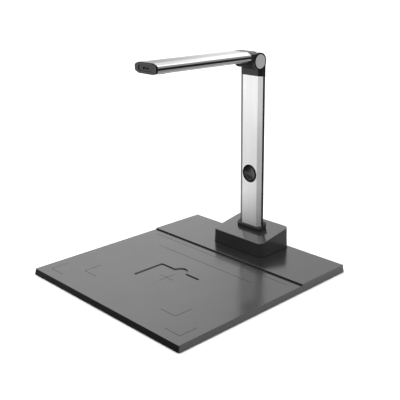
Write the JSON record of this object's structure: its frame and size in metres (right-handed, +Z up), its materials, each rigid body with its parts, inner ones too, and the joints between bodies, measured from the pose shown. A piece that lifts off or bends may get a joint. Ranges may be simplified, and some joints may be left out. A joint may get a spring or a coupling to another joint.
{
  "type": "book scanner",
  "caption": "Desk book scanner: flat copy board with page marks, a wedge foot block, a slim column and a camera arm that folds down against it.",
  "frame": {"origin": "on the desk under the middle of the copy board", "axes": "+Z up, +Y from the reader's side to the column, +X to the reader's right"},
  "size_m": [0.3374, 0.3458, 0.3345],
  "materials": {
    "board_plastic": "smooth semi-gloss dark grey moulding",
    "block_plastic": "smooth glossy near-black moulding",
    "black_plastic": "fine satin black moulding",
    "tip_plastic": "satin dark grey moulding",
    "gloss_black": "polished black",
    "bright_metal": "satin anodised silver",
    "disc_metal": "turned satin silver",
    "steel": "plain steel",
    "screw_steel": "dark zinc plated",
    "rubber": "moulded rubber",
    "circuit": "green lacquered circuit board",
    "lamp_circuit": "white lacquered circuit board",
    "silicon": "dark sensor package",
    "emitter": "yellow phosphor",
    "insulator": "white moulded insulator",
    "socket_metal": "nickel plated sheet",
    "ring_metal": "dark anodised ring",
    "lens_glass": "coated lens",
    "clear_window": "frosted clear window"
  },
  "bodies": {
    "stand": {"base_board": "board_plastic", "base_cover": "black_plastic", "ballast_plate": "steel", "rubber_feet": "rubber", "base_screws": "screw_steel", "foot_block": "block_plastic", "block_screws": "screw_steel", "stand_collar": "black_plastic", "column_front_shell": "bright_metal", "column_rear_shell": "bright_metal", "column_spine": "black_plastic", "column_screws": "screw_steel", "plate_screws": "screw_steel", "lens_dock": "gloss_black", "hinge_cap": "black_plastic", "cap_screws": "screw_steel", "hinge_shaft": "steel", "friction_washers": "steel", "hinge_discs": "disc_metal", "main_board": "circuit", "board_screws": "screw_steel", "usb_shell": "socket_metal", "usb_insulator": "insulator"},
    "arm": {"arm_knuckle": "black_plastic", "arm_core": "black_plastic", "arm_top_shell": "bright_metal", "arm_bottom_shell": "bright_metal", "arm_end_cap": "tip_plastic", "arm_screws": "screw_steel", "lens_ring": "ring_metal", "lens_barrel": "black_plastic", "front_lens": "lens_glass", "camera_board": "circuit", "camera_screws": "screw_steel", "image_sensor": "silicon", "lamp_board": "lamp_circuit", "lamp_leds": "emitter", "lamp_window": "clear_window", "indicator_window": "gloss_black", "key_switch": "black_plastic"},
    "key": {"lamp_key": "gloss_black"}
  },
  "joints": [
    {"name": "arm_fold", "type": "hinge", "parent": "stand", "child": "arm", "pos_m": [0.003, 0.1272, 0.3195], "axis": [1, 0, 0], "range_deg": [0, 90]},
    {"name": "lamp_key_press", "type": "slide", "parent": "arm", "child": "key", "axis": [0, 1, 0], "range_m": [0, 0.0005], "stiffness_N_per_m": 800, "springref_m": -0.0008}
  ]
}
